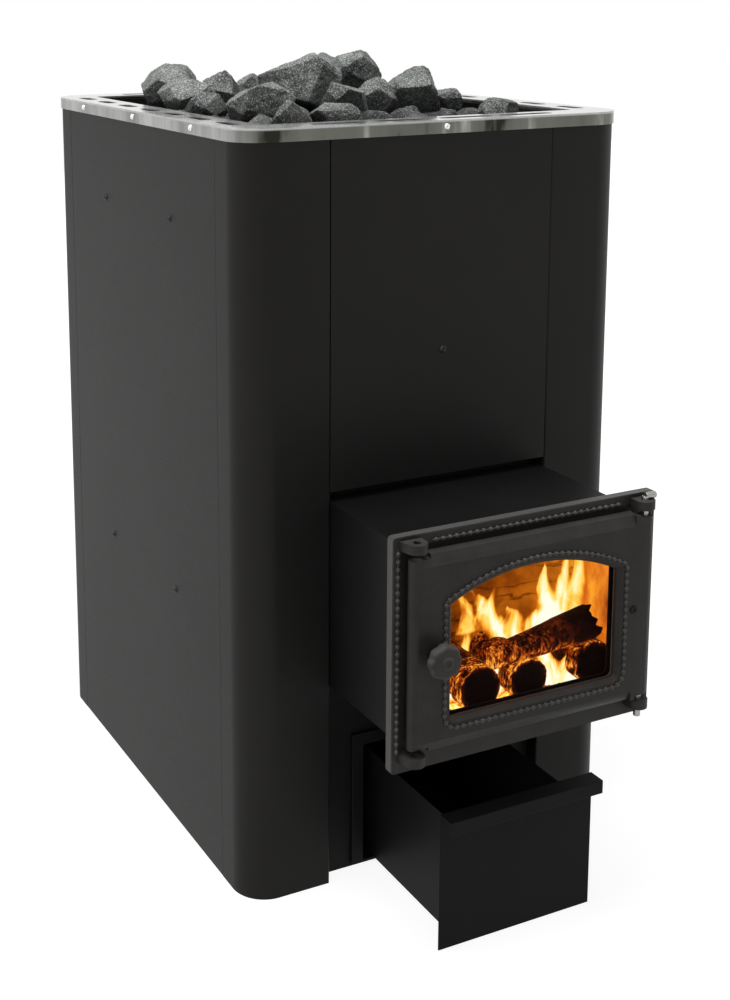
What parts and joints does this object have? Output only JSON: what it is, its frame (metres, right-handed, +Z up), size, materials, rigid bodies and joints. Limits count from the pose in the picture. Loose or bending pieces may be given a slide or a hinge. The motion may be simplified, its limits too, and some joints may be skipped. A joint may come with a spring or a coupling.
{
  "type": "sauna heater stove",
  "caption": "Wood-fired sauna heater: dark sheet-steel casing with rounded corners, slotted stainless rim round a heap of stones, cast-iron glass door on a feeding tunnel, ash drawer below.",
  "frame": {"origin": "middle of the casing's footprint, on the floor", "axes": "+Z up, front with the fire door towards -Y, +X to the right seen from the front"},
  "size_m": [0.4536, 0.7691, 0.8462],
  "materials": {
    "casing_paint": "matt heat-proof black paint",
    "body_steel": "matt black stove paint",
    "stainless": "polished stainless",
    "cast_iron": "blackened cast iron",
    "pin_steel": "bright steel",
    "door_glass": "clear fire glass",
    "gasket_rope": "glass-fibre rope",
    "fire_brick": "fired clay",
    "drawer_paint": "matt black paint",
    "charred_wood": "charred bark",
    "embers": "glowing embers",
    "heater_stone": "rough split rock"
  },
  "bodies": {
    "stove": {"post_front_left": "casing_paint", "post_front_right": "casing_paint", "post_rear_left": "casing_paint", "post_rear_right": "casing_paint", "side_panel_left": "casing_paint", "side_panel_right": "casing_paint", "front_panel": "casing_paint", "rear_panel": "casing_paint", "base_plate": "body_steel", "stone_cradle": "body_steel", "body_front_plate": "body_steel", "firebox_floor": "body_steel", "firebox_roof": "body_steel", "firebox_shell": "body_steel", "flue_collar": "body_steel", "baffle_plate": "body_steel", "ash_channel": "body_steel", "ash_mouth_frame": "body_steel", "fire_tunnel": "body_steel", "fire_brick_left": "fire_brick", "fire_brick_right": "fire_brick", "fire_brick_rear": "fire_brick", "stone_rear_left": "heater_stone", "stone_left": "heater_stone", "stone_left_small": "heater_stone", "stone_rear_middle": "heater_stone", "stone_peak": "heater_stone", "stone_front_left": "heater_stone", "stone_front_block": "heater_stone", "stone_front_flat": "heater_stone", "stone_front_pointed": "heater_stone", "stone_rear_right_top": "heater_stone", "stone_right_top": "heater_stone", "stone_middle_right": "heater_stone", "stone_right_large": "heater_stone", "stone_right_small": "heater_stone", "stone_right_low": "heater_stone", "stone_left_slab": "heater_stone", "stone_bed": "heater_stone", "rim_frame": "stainless", "rim_rear_strip": "stainless", "grate": "cast_iron", "door_frame": "cast_iron", "hinge_pin_upper": "pin_steel", "hinge_pin_lower": "pin_steel", "log_left": "charred_wood", "log_middle": "charred_wood", "log_right": "charred_wood", "log_across": "charred_wood", "ember_bed": "embers"},
    "door": {"door_leaf": "cast_iron", "glass_gasket": "gasket_rope", "door_glass": "door_glass", "glass_retainer": "body_steel"},
    "knob": {"knob": "cast_iron", "knob_spindle": "pin_steel", "latch_cam": "body_steel"},
    "ash_drawer": {"ash_drawer_front": "drawer_paint", "ash_drawer_tray": "drawer_paint"}
  },
  "joints": [
    {"name": "door_swing", "type": "hinge", "parent": "stove", "child": "door", "pos_m": [0.13, -0.4385, 0.322], "axis": [0, 0, 1], "range_deg": [0, 115]},
    {"name": "knob_turn", "type": "hinge", "parent": "door", "child": "knob", "pos_m": [-0.114, -0.4465, 0.322], "axis": [0, -1, 0], "range_deg": [0, 90]},
    {"name": "drawer_slide", "type": "slide", "parent": "stove", "child": "ash_drawer", "axis": [0, -1, 0], "range_m": [-0.1585, 0.13]}
  ]
}
